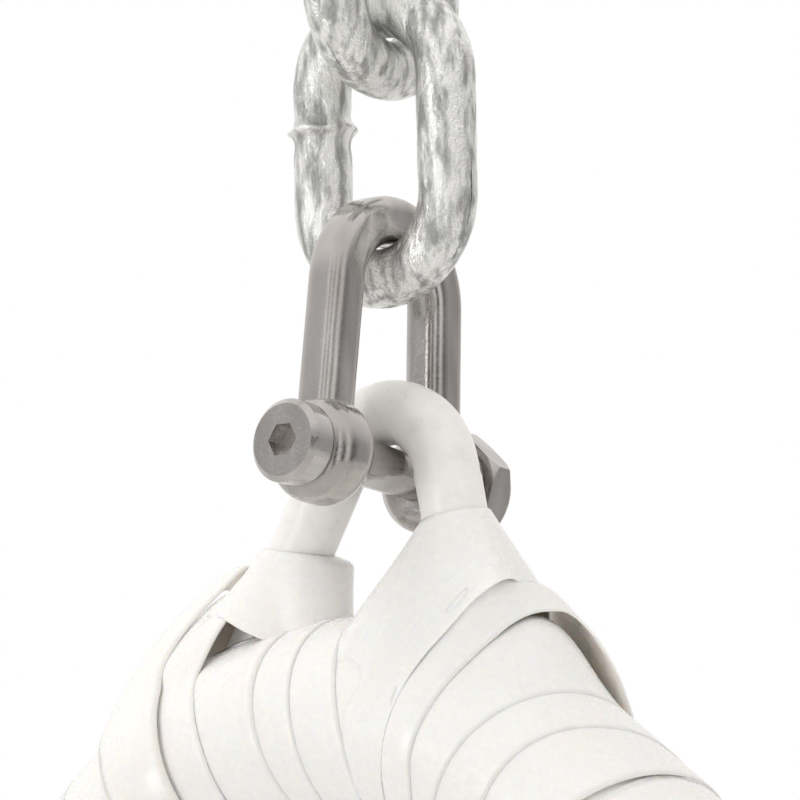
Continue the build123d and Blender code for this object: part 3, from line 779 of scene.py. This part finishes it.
def room_node(kind, inputs=()):
    """One node of the room, with its inputs' plain values."""
    node = room_tree.nodes.new("ShaderNode" + kind)
    for key, value in dict(inputs).items():
        node.inputs[key].default_value = value
    return node


def join(source, target):
    room_tree.links.new(source, target)


# brightness of the walls by compass, from -180 to 180 degrees, +X at the middle
wall_tones = (
    (0.0, 0.85), (0.08, 0.60), (0.12, 0.42), (0.16, 0.50), (0.19, 1.0), (0.23, 0.16),
    (0.27, 0.85), (0.31, 0.14), (0.35, 1.0), (0.40, 0.16), (0.46, 0.95), (0.54, 0.22),
    (0.62, 0.42), (0.68, 0.60), (0.80, 0.95), (1.0, 0.85),
)
tones = room_node("ValToRGB")
tones.color_ramp.interpolation = "EASE"
while len(tones.color_ramp.elements) < len(wall_tones):
    tones.color_ramp.elements.new(0.5)
for element, (spot, level) in zip(tones.color_ramp.elements, wall_tones):
    element.position = spot
    element.color = (level, level * 0.99, level * 0.975, 1)

way = room_node("TexCoord")
parts = room_node("SeparateXYZ")
compass = room_node("Math")
compass.operation = "ARCTAN2"
panels = room_node("MapRange", {"From Min": -math.pi, "From Max": math.pi})
join(way.outputs["Generated"], parts.inputs["Vector"])
join(parts.outputs["Y"], compass.inputs[0])
join(parts.outputs["X"], compass.inputs[1])
join(compass.outputs["Value"], panels.inputs["Value"])
join(panels.outputs["Result"], tones.inputs["Fac"])

# the panels fade into a white ceiling
overhead = room_node("MapRange", {"From Min": 0.15, "From Max": 0.7})
ceiling = room_node("MixRGB", {"Color2": (1, 0.99, 0.975, 1)})
join(parts.outputs["Z"], overhead.inputs["Value"])
join(overhead.outputs["Result"], ceiling.inputs["Fac"])
join(tones.outputs["Color"], ceiling.inputs["Color1"])

# only polished surfaces see the panels; dull ones get an even light, the camera plain white
rays = room_node("LightPath")
lit = room_node("MixRGB", {"Color1": (0.83, 0.815, 0.795, 1)})
walls = room_node("Background")
chooser = room_node("MixShader")
sky = room_tree.nodes["Background"]
sky.inputs["Color"].default_value = (1, 1, 1, 1)
sky.inputs["Strength"].default_value = 1.0
join(rays.outputs["Is Glossy Ray"], lit.inputs["Fac"])
join(ceiling.outputs["Color"], lit.inputs["Color2"])
join(lit.outputs["Color"], walls.inputs["Color"])
join(rays.outputs["Is Camera Ray"], chooser.inputs["Fac"])
join(walls.outputs["Background"], chooser.inputs[1])
join(sky.outputs["Background"], chooser.inputs[2])
join(chooser.outputs["Shader"], room_tree.nodes["World Output"].inputs["Surface"])


def lamp(name, azimuth, elevation, distance, size, power, shines):
    """A square soft lamp that looks at the pin from an azimuth and elevation."""
    a, e = math.radians(azimuth), math.radians(elevation)
    way_out = Vector((math.sin(a) * math.cos(e), -math.cos(a) * math.cos(e), math.sin(e)))
    light = bpy.data.lights.new(name, "AREA")
    light.shape = "SQUARE"
    light.size = size
    light.energy = power
    holder = bpy.data.objects.new(name, light)
    bpy.context.scene.collection.objects.link(holder)
    target = Vector((0, 0, pin_height * mm))
    holder.location = target + way_out * distance
    holder.visible_glossy = shines
    holder.rotation_mode = "QUATERNION"
    holder.rotation_quaternion = (-way_out).to_track_quat("-Z", "Y")


lamp("key lamp", -18, 2, 1.9, 0.6, 6, True)
lamp("fill lamp", 100, -5, 2.0, 0.5, 3, False)
lamp("top lamp", -60, 62, 1.8, 0.9, 8, False)

# ---------------------------------------------------------------------- camera
# A long lens close under the level of the shackle, looking slightly up at it.
camera_azimuth = math.radians(38.13)
camera_elevation = math.radians(-7.37)
camera_roll = math.radians(-1.18)
camera_place = (0.43841, -0.55573, -0.32408)
back = Vector((
    math.sin(camera_azimuth) * math.cos(camera_elevation),
    -math.cos(camera_azimuth) * math.cos(camera_elevation),
    math.sin(camera_elevation),
))
level_right = Vector((math.cos(camera_azimuth), math.sin(camera_azimuth), 0))
level_up = back.cross(level_right)
right = level_right * math.cos(camera_roll) + level_up * math.sin(camera_roll)
up = level_up * math.cos(camera_roll) - level_right * math.sin(camera_roll)
lens = bpy.data.cameras.new("camera")
lens.sensor_width = 36.0
lens.lens = 196.4
lens.clip_start = 0.01
lens.clip_end = 20.0
camera = bpy.data.objects.new("camera", lens)
bpy.context.scene.collection.objects.link(camera)
turned = Matrix((right, up, back)).transposed().to_4x4()
camera.matrix_world = Matrix.Translation(camera_place) @ turned
bpy.context.scene.camera = camera
bpy.context.scene.view_settings.view_transform = "Standard"

bpy.context.view_layer.update()
